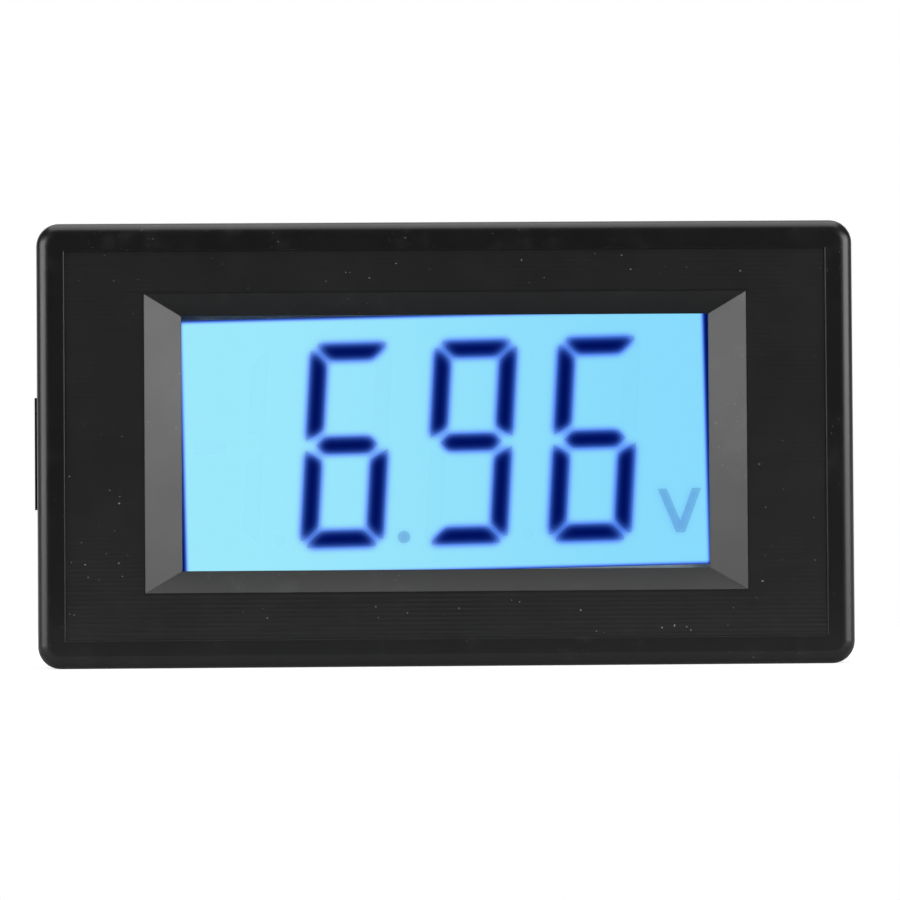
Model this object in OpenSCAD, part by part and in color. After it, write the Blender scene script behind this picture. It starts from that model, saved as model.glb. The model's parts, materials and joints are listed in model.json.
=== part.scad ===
// Digital panel meter: a snap-in case with a bevelled window, a backlit liquid-crystal display,
// a circuit board with screw terminals, and two side clips that grip the panel.
// The front looks along -Y. The origin is the centre of the face that seats on the panel.

/* [Front frame] */
// Width of the front frame
frame_w = 79; // [78:0.5:96]
// Height of the front frame
frame_h = 43; // [42:0.5:56]
// How far the front frame stands ahead of the panel
frame_t = 3.8; // [3.6:0.1:5]
// Corner radius of the front frame, seen from the front
frame_corner_r = 2.2; // [1.6:0.1:4]
// Rounding of the front edge
front_edge_r = 1.25; // [0.5:0.05:1.5]
// Width of the smooth rim round the ribbed field
rim_w = 2.7; // [2:0.1:4]
// Depth of the ribbed field below the rim
field_depth = 0.18; // [0.1:0.02:0.4]

/* [Display window] */
// Clear width of the window at its inner edge
window_w = 51.2; // [44:0.2:51.4]
// Clear height of the window at its inner edge
window_h = 24.7; // [20:0.1:24.8]
// How far the window's centre lies above the frame's centre
window_lift = 0.2; // [-0.5:0.1:0.5]
// Width of the bevel at each side of the window
bevel_side = 3.5; // [2:0.1:5]
// Width of the bevel above and below the window
bevel_end = 2.1; // [1:0.1:3]
// Depth of the bevel
bevel_depth = 2; // [1:0.1:2.6]
// Depth of the straight lip behind the bevel
lip_depth = 0.3; // [0.2:0.05:0.6]

/* [Case] */
// Width of the opening in the panel that the case fills
cutout_w = 76; // [75:0.5:77]
// Play between the case and the opening, at each side
cutout_play = 0.25; // [0.1:0.05:0.4]
// Depth of the case behind the panel's face
case_depth = 21.2; // [21:0.2:30]
// Wall thickness of the case
wall_t = 1.6; // [1.4:0.1:2]
// Outer corner radius of the case
case_corner_r = 1.5; // [0.8:0.1:2]
// Thickness of the rear cover
cover_t = 1.6; // [1.2:0.1:2]
// Play round the rear cover in its rebate
cover_play = 0.15; // [0.1:0.05:0.3]
// Room between the display's carrier and the case, above and below
carrier_room = 0.85; // [0.7:0.05:1.2]

/* [Side clips] */
// Height of a side clip
clip_h = 11; // [8:0.5:12]
// How far the clips sit below the frame's centre
clip_drop = 0.6; // [0:0.1:1.5]
// How far a clip's tip stands out past the case
clip_reach = 2.45; // [2:0.05:2.6]
// Thinnest panel that the clips grip
panel_min_t = 2.1; // [2.1:0.1:3]
// Height of one grip step, in panel thickness
grip_step = 0.8; // [0.5:0.1:1]
// Radius of the bead that a clip turns on
bead_r = 1; // [0.9:0.05:1.1]
// Running clearance round the bead
bead_play = 0.05; // [0.03:0.01:0.09]

/* [Display] */
// How far the display is turned in its seat, in degrees
display_turn = 1.1; // [-1.2:0.1:1.2]
// Width of both glasses
glass_w = 55; // [54:0.1:55.4]
// How far the rear glass runs past the lit area, above and below
glass_margin = 1.25; // [1:0.05:1.5]
// Height of each contact ledge, by which the front glass runs past the rear one
ledge_h = 2.1; // [2:0.05:2.4]
// Thickness of each glass
glass_t = 1.1; // [0.7:0.1:1.1]
// Thickness of each optical film
film_t = 0.2; // [0.15:0.05:0.3]
// Gap between the glasses that the segments fill
cell_gap = 0.1; // [0.05:0.05:0.2]
// Width of the lit area
lit_w = 51.2; // [50:0.1:51.4]
// Height of the lit area
lit_h = 24.9; // [24:0.1:25.1]
// Thickness of the light guide
guide_t = 3; // [2:0.1:3.4]
// Play round the glass and the light guide in their carrier
carrier_play = 0.1; // [0.05:0.05:0.15]

/* [Digits] */
// First digit shown
digit_1 = 6; // [0:1:9]
// Second digit shown
digit_2 = 9; // [0:1:9]
// Third digit shown
digit_3 = 6; // [0:1:9]
// Width of a digit
digit_w = 8.05; // [6:0.05:8.6]
// Height of a digit
digit_h = 19.85; // [16:0.05:20.4]
// Width of a segment
stroke = 1.65; // [1.2:0.05:2]
// Gap between neighbouring segments
stroke_gap = 0.5; // [0.3:0.05:0.7]
// Distance from one digit to the next
digit_pitch = 12.1; // [11:0.1:12.4]
// Place of the last digit, from the display's centre
last_digit_x = 14.6; // [13:0.1:15]
// Lean of the digits, in degrees
digit_slant = 4.5; // [0:0.5:8]

/* [Circuit board] */
// Thickness of the circuit board
board_t = 1.6; // [1.2:0.1:1.8]
// Play between the circuit board and the case
board_play = 0.45; // [0.3:0.05:0.6]
// Radius of a board screw's thread
board_screw_r = 1; // [0.8:0.05:1.1]
// Radius of the bosses that take the board screws
boss_r = 2.5; // [2:0.1:2.6]

/* [Terminals] */
// Distance from one terminal to the next
terminal_pitch = 5.08; // [5:0.02:5.2]
// How far the terminal block's top lies inside the case's back
block_inset = 0.82; // [0.4:0.02:1]
// Depth of the terminal block, from its wire side to its back
block_d = 8.2; // [8:0.1:9]
// Radius of a terminal screw's thread
screw_r = 1.25; // [1:0.05:1.3]
// Radius of a terminal screw's head
screw_head_r = 1.9; // [1.7:0.05:2]
// Running clearance between screw and clamp cage
screw_play = 0.05; // [0.03:0.01:0.09]
// How far a clamp cage rises from open to closed
clamp_travel = 2.2; // [1.6:0.1:2.2]

/* [Calibration] */
// Side of the trimmer's square body
trimmer_w = 6.6; // [6:0.1:8]
// Radius of the trimmer's rotor
rotor_r = 2.2; // [1.6:0.1:2.6]
// Running clearance round the rotor
rotor_play = 0.05; // [0.03:0.01:0.09]
// Radius of the hole in the rear cover above the trimmer
access_r = 2; // [1.5:0.1:2.5]

/* [Hidden] */
$fn = 48;
TERMINALS = [1, 2, 3, 4];

case_black = [0.09, 0.09, 0.1];
film_blue = [0.55, 0.88, 0.98];
segment_navy = [0.02, 0.06, 0.36];
board_green = [0.05, 0.3, 0.16];
solder_tin = [0.75, 0.76, 0.78];

slack = 0.3;             // cuts run this far past the surfaces that they open
carrier_wall_t = 0.8;
glass_play = 2 * carrier_play;
rear_glass_h = lit_h + 2 * glass_margin;
front_glass_h = rear_glass_h + 2 * ledge_h;
carrier_w = glass_w + 2 * (glass_play + carrier_wall_t);
carrier_h = front_glass_h + 2 * (glass_play + carrier_wall_t);
case_w = cutout_w - 2 * cutout_play;
inner_w = case_w - 2 * wall_t;
inner_h = carrier_h + 2 * carrier_room;
case_h = inner_h + 2 * wall_t;
rebate_wall_t = wall_t / 2;
cover_y = case_depth - cover_t;
field_y = field_depth - frame_t;
window_y = field_y + bevel_depth + lip_depth;

// depths of the display's layers, from the window's inner face backwards
glass_y = window_y + film_t;
cell_y = glass_y + glass_t;
rear_glass_y = cell_y + cell_gap;
rear_film_y = rear_glass_y + glass_t;
diffuser_y = rear_film_y + film_t;
guide_y = diffuser_y + film_t;
reflector_y = guide_y + guide_t;
carrier_back_y = reflector_y + film_t;
carrier_back_t = 1;
board_y = carrier_back_y + carrier_back_t;
parts_y = board_y + board_t;

// segments of one digit, named a to g clockwise from the top, with g in the middle
SEGMENTS = "abcdefg";
SHAPES = ["abcdef", "bc", "abdeg", "abcdg", "bcfg", "acdfg", "acdefg", "abc", "abcdefg", "abcdfg"];
digits = [digit_1, digit_2, digit_3];
digit_x = [for (i = [0:2]) last_digit_x - (2 - i) * digit_pitch];
corner_gap = stroke_gap / sqrt(2);
blunt = 0.35;            // width of a segment's blunted outer corner
point_r = 0.6;
point_z = stroke / 2 - digit_h / 2;
point_x = (digit_x[0] + digit_x[1]) / 2 + point_z * tan(digit_slant);

film_margin = 1.1;       // by how much the rear film runs past the lit area
polarizer_in_w = 0.8;    // the front polarizer stops this far short of the rear glass's sides
polarizer_in_h = 0.25;   // and this far short of its ends
seal_w = 1.2;
strip_t = 1.8;
strip_w = 50;
strip_z = (rear_glass_h + ledge_h) / 2;
led_w = 1.6;
led_h = 3.2;
led_spread = 12;
led_ahead = 4;           // how far the lamps reach forward of the board

boss_x = inner_w / 2 - boss_r - 1.25;
boss_z = inner_h / 2 - boss_r - 0.75;
screw_bite = 0.05;       // gap between a board screw and its pilot hole
board_screw_l = 5;
board_w = inner_w - 2 * board_play;
board_h = inner_h - 2 * board_play;

pivot_in = 1.75;         // from the case's side to the clip's pivot line
pivot_x = case_w / 2 - pivot_in;
pivot_ahead = 2.4;       // from the rear cover's inner face to the pivot line
pivot_y = cover_y - pivot_ahead;
mouth_in = 0.75;         // from the pivot line to the mouth of its socket
pocket_front_y = 0.8;
pocket_d = 3.55;
pocket_wall_t = 1.2;
pocket_play = 0.3;
pocket_h = clip_h + 2 * pocket_play;
pocket_floor_x = case_w / 2 - pocket_d;
clip_root_t = 1;
tip_x = case_w / 2 + clip_reach;
tip_y = panel_min_t + 2 * grip_step;
step_x = 0.7;
grip_clear = 0.05;       // the grip faces begin this far outside the case's side

tab_w = 6;
tab_t = 1;
tab_x = 24;
tab_l = 4.8;
barb_l = 1.6;
barb_out = 0.85;

ways = len(TERMINALS);
block_w = ways * terminal_pitch + 0.4;
block_wire_z = 0.25 - case_h / 2;
block_top_y = case_depth - block_inset;
block_play = 0.35;
way_w = terminal_pitch - 0.88;   // clear width of one chamber
screw_z = block_wire_z + 3.8;
seat_t = 1.4;
cage_w = way_w - 0.3;
cage_d = 5;
cage_cap_t = 1;
cage_side_t = 0.6;
cage_base_t = 0.8;
tongue_t = 0.6;
tongue_w = 2.4;
tongue_play = 0.1;
wire_h = clamp_travel + 0.4;
block_floor_t = 1.2;
cage_gap = 0.6;          // room below an open cage
chamber_y = parts_y + block_floor_t;
cage_y = chamber_y + cage_gap;
tongue_top_y = cage_y + cage_base_t + wire_h + tongue_t;
cage_top_y = tongue_top_y + tongue_play + cage_cap_t;
chamber_top_y = cage_top_y + clamp_travel + tongue_play;
seat_y = chamber_top_y + seat_t; // where the screws' heads rest
chamber_z0 = block_wire_z + 1;
cage_z0 = chamber_z0 + 0.3;
strap_t = 0.5;
strap_z = cage_z0 + cage_d + 0.3;

screw_recess_w = 0.6;    // width of the driver slots in all the screws
pin_trim = 0.1;          // solder pins end this far inside the board's front side

// where the board's parts stand, as [X, Z]
chip_at = [-3, 4];
chip_w = 10;
chip_t = 2;
chip_lift = 0.2;
lead_pitch = 0.8;
leads_per_side = 11;
regulator_at = [-14, -10];
can_at = [[-24, 9.5], [-24, 1.5]];
film_at = [8.4, 12.5];
film_pitch = 4;
resistor_at = [20, 3];
resistor_pitch = 3.4;
diode_at = [-20, -6.5];
trimmer_at = [22, 9];
trimmer_h = 4.8;
rotor_t = 1;
rotor_pin_r = 0.8;
rotor_pin_l = 1.2;

// -------------------------------------------------------------------- helpers

// A box between two corners, given as ranges along X, Y and Z
module span_box(xs, ys, zs) {
  translate([xs[0], ys[0], zs[0]])
    cube([xs[1] - xs[0], ys[1] - ys[0], zs[1] - zs[0]]);
}

// Carries a flat outline, drawn as seen from the front, from depth y0 back to y1
module extrude_y(y0, y1) {
  translate([0, y1, 0])
    rotate([90, 0, 0])
      linear_extrude(y1 - y0)
        children();
}

// A round bar along Y from depth y0 back to y1
module rod_y(r, y0, y1) {
  translate([0, y0, 0])
    rotate([-90, 0, 0])
      cylinder(r = r, h = y1 - y0);
}

// A rectangle with round corners, centred
module rounded_rect(w, h, r) {
  square([w - 2 * r, h], center = true);
  square([w, h - 2 * r], center = true);
  for (x = [-1, 1], y = [-1, 1])
    translate([x * (w / 2 - r), y * (h / 2 - r)])
      circle(r);
}

// A plain sheet of the display stack, centred on the display
module sheet(w, h, y0, t) {
  extrude_y(y0, y0 + t)
    square([w, h], center = true);
}

// Puts the display's pieces on its own centre, turned as it sits in the window
module on_display() {
  translate([0, 0, window_lift])
    rotate([0, -display_turn, 0])
      children();
}

// Copies to both sides: the shape drawn at +X, and its mirror image
module both_sides() {
  children();
  mirror([1, 0, 0])
    children();
}

// Copies to the top and bottom: the shape drawn at +Z, and its mirror image
module both_ends() {
  children();
  mirror([0, 0, 1])
    children();
}

// -------------------------------------------------------------- front housing

// Section of the front frame's edge: outwards along X, forwards along Y
module edge_section() {
  square([frame_corner_r, frame_t - front_edge_r]);
  square([frame_corner_r - front_edge_r, frame_t]);
  translate([frame_corner_r - front_edge_r, frame_t - front_edge_r])
    intersection() {
      circle(front_edge_r);
      square(front_edge_r);
    }
}

// One side of the frame and the corner that follows it, drawn flat at the frame's middle
module frame_side(length, out) {
  translate([out - frame_corner_r, length / 2 - frame_corner_r, 0]) {
    rotate([90, 0, 0])
      linear_extrude(length - 2 * frame_corner_r)
        edge_section();
    rotate_extrude(angle = 90)
      edge_section();
  }
}

// The rounded front plate: its section carried round the four sides and corners
module front_plate() {
  rotate([90, 0, 0]) {
    translate([-frame_w / 2 + frame_corner_r, -frame_h / 2 + frame_corner_r, 0])
      cube([frame_w - 2 * frame_corner_r, frame_h - 2 * frame_corner_r, frame_t]);
    for (turn = [0, 180])
      rotate([0, 0, turn])
        frame_side(frame_h, frame_w / 2);
    for (turn = [90, 270])
      rotate([0, 0, turn])
        frame_side(frame_w, frame_h / 2);
  }
}

// The window's bevel, as two wedges that cross to leave mitred corners
module window_cut() {
  bevel_front_y = field_y - slack;
  grow = slack / bevel_depth;
  back_y = field_y + bevel_depth;
  half_w = window_w / 2;
  half_h = window_h / 2;
  out_w = half_w + bevel_side * (1 + grow);
  out_h = half_h + bevel_end * (1 + grow);
  translate([0, 0, window_lift]) {
    intersection() {
      translate([0, 0, -frame_h / 2])
        linear_extrude(frame_h)
          polygon([[-out_w, bevel_front_y], [out_w, bevel_front_y], [half_w, back_y], [-half_w, back_y]]);
      translate([-frame_w / 2, 0, 0])
        rotate([90, 0, 90])
          linear_extrude(frame_w)
            polygon([[bevel_front_y, -out_h], [bevel_front_y, out_h], [back_y, half_h], [back_y, -half_h]]);
    }
    sheet(window_w, window_h, back_y - slack, bevel_depth + slack);
  }
}

// The block moulded inside a side wall round one clip's pocket
module pocket_block() {
  half_h = pocket_h / 2 + pocket_wall_t;
  span_box([pocket_floor_x - pocket_wall_t, case_w / 2 - wall_t / 2], [window_y - slack, cover_y],
           [-clip_drop - half_h, -clip_drop + half_h]);
}

// What is cut from that block: the pocket and the round socket at its rear end
module pocket_cut() {
  translate([0, 0, -clip_drop - pocket_h / 2]) {
    span_box([pocket_floor_x, case_w / 2 + slack], [pocket_front_y, pivot_y - mouth_in], [0, pocket_h]);
    translate([pivot_x, pivot_y, 0])
      cylinder(r = bead_r + bead_play, h = pocket_h);
  }
}

// Places something at the four board screws
module at_bosses() {
  for (x = [-1, 1], z = [-1, 1])
    translate([x * boss_x, 0, z * boss_z])
      children();
}

// A boss with the two webs that tie it to the case's walls
module bosses() {
  web_t = 1;
  at_bosses()
    rod_y(boss_r, window_y - slack, board_y);
  both_sides()
    both_ends() {
      span_box([boss_x, inner_w / 2 + slack], [window_y - slack, board_y - 1],
               [boss_z - web_t / 2, boss_z + web_t / 2]);
      span_box([boss_x - web_t / 2, boss_x + web_t / 2], [window_y - slack, board_y - 1],
               [boss_z, inner_h / 2 + slack]);
    }
}

// Windows in the upper and lower walls that catch the rear cover's barbs
module barb_windows() {
  for (x = [-tab_x, tab_x])
    span_box([x - tab_w / 2 - 0.3, x + tab_w / 2 + 0.3],
             [cover_y - tab_l + 0.4, cover_y - tab_l + barb_l + 0.8], [-case_h, case_h]);
}

// The slot in the lower wall that the terminal block's wire side fills
module terminal_notch() {
  half_w = block_w / 2 + block_play;
  span_box([-half_w, half_w], [parts_y - block_play, case_depth + slack], [-case_h, -inner_h / 2 + slack]);
}

module front_housing() {
  color(case_black)
    difference() {
      union() {
        difference() {
          union() {
            front_plate();
            extrude_y(-frame_t / 2, case_depth)
              rounded_rect(case_w, case_h, case_corner_r);
          }
          extrude_y(window_y, case_depth + slack)
            rounded_rect(inner_w, inner_h, 0.6);
        }
        both_sides()
          pocket_block();
        bosses();
      }
      extrude_y(-frame_t - slack, field_y)
        square([frame_w - 2 * rim_w, frame_h - 2 * rim_w], center = true);
      window_cut();
      both_sides()
        pocket_cut();
      at_bosses()
        rod_y(board_screw_r, board_y - board_screw_l - 0.6, board_y + slack);
      extrude_y(cover_y, case_depth + slack)
        rounded_rect(case_w - 2 * rebate_wall_t, case_h - 2 * rebate_wall_t, 1);
      barb_windows();
      terminal_notch();
    }
}

// ----------------------------------------------------------------- rear cover

// One snap tab of the upper edge, with its barb
module snap_tab() {
  outer_z = inner_h / 2 - cover_play;
  tip_y = cover_y - tab_l;
  span_box([tab_x - tab_w / 2, tab_x + tab_w / 2], [tip_y, cover_y + slack], [outer_z - tab_t, outer_z]);
  translate([tab_x - tab_w / 2, 0, 0])
    rotate([90, 0, 90])
      linear_extrude(tab_w)
        polygon([[tip_y, outer_z - tab_t], [tip_y + 0.5, outer_z - slack], [tip_y + 0.5, outer_z],
                 [tip_y + 0.5 + barb_l, outer_z + barb_out], [tip_y + 0.5 + barb_l, outer_z - slack]]);
}

// Air slots, in two rows
module vents() {
  vent_w = 1.4;
  vent_h = 8;
  vent_pitch = 3;
  row_pitch = 10;
  middle_x = -18;
  middle_z = 0.5;
  for (i = [-3:3], row = [-0.5, 0.5])
    translate([middle_x + i * vent_pitch, 0, middle_z + row * row_pitch])
      extrude_y(cover_y - slack, case_depth + slack) {
        square([vent_w, vent_h - vent_w], center = true);
        for (s = [-1, 1])
          translate([0, s * (vent_h - vent_w) / 2])
            circle(vent_w / 2);
      }
}

module rear_cover() {
  cover_w = case_w - 2 * (rebate_wall_t + cover_play);
  cover_h = case_h - 2 * (rebate_wall_t + cover_play);
  opening = block_w / 2 + block_play;
  color(case_black)
    difference() {
      union() {
        extrude_y(cover_y, case_depth)
          rounded_rect(cover_w, cover_h, 0.9);
        both_sides()
          both_ends()
            snap_tab();
      }
      span_box([-opening, opening], [cover_y - slack, case_depth + slack],
               [-case_h, block_wire_z + block_d + block_play]);
      vents();
      translate([trimmer_at[0], 0, trimmer_at[1]])
        rod_y(access_r, cover_y - slack, case_depth + slack);
    }
}

// ----------------------------------------------------------------- side clips

// Outline of the right-hand clip in plan: arm, head and grip steps
module clip_outline() {
  root_y = pivot_y - bead_r / 2;
  neck_y = root_y - 1.5;
  head_y = tip_y + 5.3;
  head_out = 0.85;
  head_in = 0.5;
  nose_w = 0.2;
  polygon([
    [pivot_x + clip_root_t / 2, root_y],
    [pivot_x + clip_root_t / 2, neck_y],
    [case_w / 2 + head_out, head_y],
    [tip_x, tip_y + nose_w],
    [tip_x, tip_y],
    [tip_x - step_x, tip_y],
    [tip_x - step_x, tip_y - grip_step],
    [tip_x - 2 * step_x, tip_y - grip_step],
    [tip_x - 2 * step_x, panel_min_t],
    [case_w / 2 + grip_clear, panel_min_t],
    [case_w / 2 - head_in, head_y - 2 * nose_w],
    [pivot_x - clip_root_t / 2, neck_y],
    [pivot_x - clip_root_t / 2, root_y],
  ]);
}

module panel_clip_right() {
  color(case_black)
    translate([0, 0, -clip_drop - clip_h / 2]) {
      linear_extrude(clip_h)
        clip_outline();
      translate([pivot_x, pivot_y, 0])
        cylinder(r = bead_r, h = clip_h);
    }
}

module panel_clip_left() {
  mirror([1, 0, 0])
    panel_clip_right();
}

// -------------------------------------------------------------------- display

module lcd_front_polarizer() {
  color(film_blue, 0.5)
    on_display()
      sheet(glass_w - 2 * polarizer_in_w, rear_glass_h - 2 * polarizer_in_h, window_y, film_t);
}

module lcd_front_glass() {
  color("lightcyan", 0.4)
    on_display()
      sheet(glass_w, front_glass_h, glass_y, glass_t);
}

module lcd_cell_seal() {
  color("gainsboro")
    on_display()
      difference() {
        sheet(glass_w, rear_glass_h, cell_y, cell_gap);
        sheet(glass_w - 2 * seal_w, rear_glass_h - 2 * seal_w, cell_y - slack, cell_gap + 2 * slack);
      }
}

module lcd_rear_glass() {
  color("lightcyan", 0.4)
    on_display()
      sheet(glass_w, rear_glass_h, rear_glass_y, glass_t);
}

module lcd_rear_polarizer() {
  color(film_blue)
    on_display()
      sheet(lit_w + 2 * film_margin, lit_h + film_margin, rear_film_y, film_t);
}

// Top segment, cut at 45 degrees to meet its neighbours
module end_segment() {
  tip = digit_w / 2 - corner_gap - blunt;
  inner = digit_w / 2 - corner_gap - stroke;
  top = digit_h / 2;
  polygon([[-tip, top], [tip, top], [tip, top - blunt], [inner, top - stroke],
           [-inner, top - stroke], [-tip, top - blunt]]);
}

// Upper right segment
module side_segment() {
  out = digit_w / 2;
  top = digit_h / 2 - corner_gap;
  low = 0.9 * stroke_gap;
  rise = 0.62 * stroke;
  polygon([[out, top - blunt], [out - blunt, top - blunt], [out - stroke, top - stroke],
           [out - stroke, low + rise], [out, low]]);
}

// Middle segment, pointed at both ends
module middle_segment() {
  tip = digit_w / 2 - stroke / 2 - 0.4 * stroke_gap;
  half = stroke / 2;
  polygon([[-tip, 0], [half - tip, half], [tip - half, half], [tip, 0], [tip - half, -half],
           [half - tip, -half]]);
}

// One segment of an upright digit at the origin
module segment(name) {
  if (name == "a") end_segment();
  if (name == "b") side_segment();
  if (name == "c") mirror([0, 1]) side_segment();
  if (name == "d") mirror([0, 1]) end_segment();
  if (name == "e") rotate(180) side_segment();
  if (name == "f") mirror([1, 0]) side_segment();
  if (name == "g") middle_segment();
}

// Leans what is drawn upright, as the digits lean
module leaning() {
  multmatrix([[1, tan(digit_slant), 0, 0], [0, 1, 0, 0], [0, 0, 1, 0], [0, 0, 0, 1]])
    children();
}

// A flat figure of the display, in the gap between the glasses
module in_cell(x) {
  on_display()
    translate([x, 0, 0])
      extrude_y(cell_y, cell_y + cell_gap)
        children();
}

// The segments of one digit that are driven, or the ones that are not
module digit(value, x, driven) {
  for (name = SEGMENTS)
    if ((len(search(name, SHAPES[value])) > 0) == driven)
      in_cell(x)
        leaning()
          segment(name);
}

module segments_on() {
  color(segment_navy)
    for (i = [0:2])
      digit(digits[i], digit_x[i], true);
}

// The decimal point between the first two digits, and the unit mark
module segments_dim() {
  unit_w = 4.2;
  unit_h = 4.3;
  unit_t = 0.85;
  unit_x = last_digit_x + digit_pitch * 0.67;
  unit_z = -7.2;
  color(segment_navy, 0.4) {
    in_cell(point_x)
      translate([0, point_z])
        circle(point_r);
    in_cell(unit_x)
      translate([0, unit_z])
        polygon([[-unit_w / 2, unit_h / 2], [unit_t - unit_w / 2, unit_h / 2], [0, unit_t * 1.3 - unit_h / 2],
                 [unit_w / 2 - unit_t, unit_h / 2], [unit_w / 2, unit_h / 2], [unit_t / 2, -unit_h / 2],
                 [-unit_t / 2, -unit_h / 2]]);
  }
}

// The undriven segments, the leading half digit, the sign and the other points
module segments_off() {
  half_digit_x = digit_x[0] - digit_pitch;
  color(segment_navy, 0.1) {
    for (i = [0:2])
      digit(digits[i], digit_x[i], false);
    for (name = ["b", "c"])
      in_cell(half_digit_x)
        leaning()
          segment(name);
    in_cell(half_digit_x - 1.2)
      square([3.2, stroke * 0.7], center = true);
    for (i = [-1, 1])
      in_cell(point_x + i * digit_pitch)
        translate([0, point_z])
          circle(point_r);
  }
}

module light_diffuser() {
  color("white")
    on_display()
      sheet(lit_w, lit_h, diffuser_y, film_t);
}

// The light guide, with a row of shallow grooves across its back
module light_guide() {
  groove_d = 0.3;
  groove_w = 0.6;
  groove_in = 1;
  grooves = 12;
  color(film_blue)
    on_display()
      difference() {
        sheet(lit_w, lit_h, guide_y, guide_t);
        for (i = [1:grooves])
          translate([i * lit_w / (grooves + 1) - lit_w / 2, 0, 0])
            sheet(groove_w, lit_h - 2 * groove_in, reflector_y - groove_d, groove_d + slack);
      }
}

module light_reflector() {
  color("white")
    on_display()
      sheet(lit_w, lit_h, reflector_y, film_t);
}

// Two side-lit lamps that stand on the board beside the light guide's left edge
module backlight_leds() {
  color("ivory")
    on_display()
      for (z = [-led_spread / 2, led_spread / 2])
        translate([-lit_w / 2 - carrier_play - led_w / 2, 0, z]) {
          span_box([-led_w / 2, led_w / 2], [board_y - led_ahead, board_y],
                   [-led_h / 2, led_h / 2]);
        }
}

// The white moulding that holds glass, light guide and contact strips together
module display_carrier() {
  light_w = lit_w + 2 * carrier_play;
  light_h = lit_h + 2 * carrier_play;
  slot_t = strip_t + 2 * carrier_play;
  rim_y = window_y + 0.3;
  led_room = 0.2;
  color("whitesmoke")
    on_display()
      difference() {
        sheet(carrier_w, carrier_h, rim_y, board_y - rim_y);
        sheet(glass_w + 2 * glass_play, front_glass_h + 2 * glass_play, rim_y - slack,
              diffuser_y - rim_y + slack);
        sheet(light_w, light_h, diffuser_y - slack, carrier_back_y - diffuser_y + slack);
        for (z = [-strip_z, strip_z])
          translate([0, 0, z])
            sheet(strip_w + 2 * carrier_play, slot_t, diffuser_y - slack, board_y - diffuser_y + 2 * slack);
        for (z = [-led_spread / 2, led_spread / 2])
          translate([-lit_w / 2 - led_w / 2, 0, z])
            sheet(led_w + 2 * led_room + carrier_play, led_h + 2 * led_room,
                  board_y - led_ahead - led_room, led_ahead + led_room + slack);
      }
}

// Layered silicone strips that join the glass ledges to the board
module contact_strips() {
  color("hotpink")
    on_display()
      for (z = [-strip_z, strip_z])
        translate([0, 0, z])
          sheet(strip_w, strip_t, cell_y, board_y - cell_y);
}

// ---------------------------------------------------------------------- board

module main_board() {
  notch_x = pocket_floor_x - pocket_wall_t - board_play;
  notch_h = pocket_h + 2 * (pocket_wall_t + board_play);
  pin_hole_r = 0.6;
  color(board_green)
    difference() {
      extrude_y(board_y, parts_y)
        rounded_rect(board_w, board_h, 1);
      both_sides()
        span_box([notch_x, board_w], [board_y - slack, parts_y + slack],
                 [-clip_drop - notch_h / 2, -clip_drop + notch_h / 2]);
      at_bosses()
        rod_y(board_screw_r + 0.2, board_y - slack, parts_y + slack);
      for (i = [0:ways - 1])
        translate([way_x(i), 0, strap_z + strap_t / 2])
          rod_y(pin_hole_r, board_y - slack, parts_y + slack);
    }
}

module board_screws() {
  head_r = 1.9;
  head_t = 1.4;
  cross_l = 2.4;
  cross_d = 0.8;
  color(solder_tin)
    at_bosses()
      difference() {
        union() {
          rod_y(board_screw_r - screw_bite, board_y - board_screw_l, parts_y + slack);
          rod_y(head_r, parts_y, parts_y + head_t);
        }
        for (turn = [0, 90])
          rotate([0, turn, 0])
            span_box([-cross_l / 2, cross_l / 2], [parts_y + head_t - cross_d, parts_y + head_t + slack],
                     [-screw_recess_w / 2, screw_recess_w / 2]);
      }
}

// Stands a part on the board, at a place given as [X, Z]
module on_board(at) {
  translate([at[0], parts_y, at[1]])
    children();
}

// Flat-pack converter: a body, with its leads on all four sides as a piece of their own
module converter_chip() {
  mark_in = 1.2;
  mark_r = 0.5;
  mark_d = 0.2;
  color([0.07, 0.07, 0.08])
    on_board(chip_at)
      difference() {
        span_box([-chip_w / 2, chip_w / 2], [chip_lift, chip_lift + chip_t], [-chip_w / 2, chip_w / 2]);
        translate([mark_in - chip_w / 2, 0, chip_w / 2 - mark_in])
          rod_y(mark_r, chip_lift + chip_t - mark_d, chip_lift + chip_t + slack);
      }
}

module converter_leads() {
  lead_w = 0.35;
  lead_t = 0.15;
  exit_y = 0.95;
  knee = 0.35;
  reach = 1.3;
  color(solder_tin)
    on_board(chip_at)
      for (turn = [0:90:270], i = [0:leads_per_side - 1])
        rotate([0, turn, 0])
          translate([chip_w / 2, 0, (i - (leads_per_side - 1) / 2) * lead_pitch - lead_w / 2])
            linear_extrude(lead_w)
              polygon([[0, exit_y + lead_t], [knee + lead_t, exit_y + lead_t], [knee + 2 * lead_t, lead_t],
                       [reach, lead_t], [reach, 0], [knee + lead_t, 0], [knee, exit_y], [0, exit_y]]);
}

// Three-legged regulator with a flat face
module voltage_regulator() {
  body_r = 2.3;
  lift = 2.5;
  body_h = 4.6;
  flat_z = 1.3;
  leg_pitch = 1.27;
  leg_w = 0.44;
  color([0.08, 0.08, 0.09])
    on_board(regulator_at) {
      difference() {
        rod_y(body_r, lift, lift + body_h);
        span_box([-body_r, body_r], [lift - slack, lift + body_h + slack], [flat_z, body_r + slack]);
      }
      for (x = [-leg_pitch, 0, leg_pitch])
        span_box([x - leg_w / 2, x + leg_w / 2], [0, lift + slack], [-leg_w / 2, leg_w / 2]);
    }
}

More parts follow.
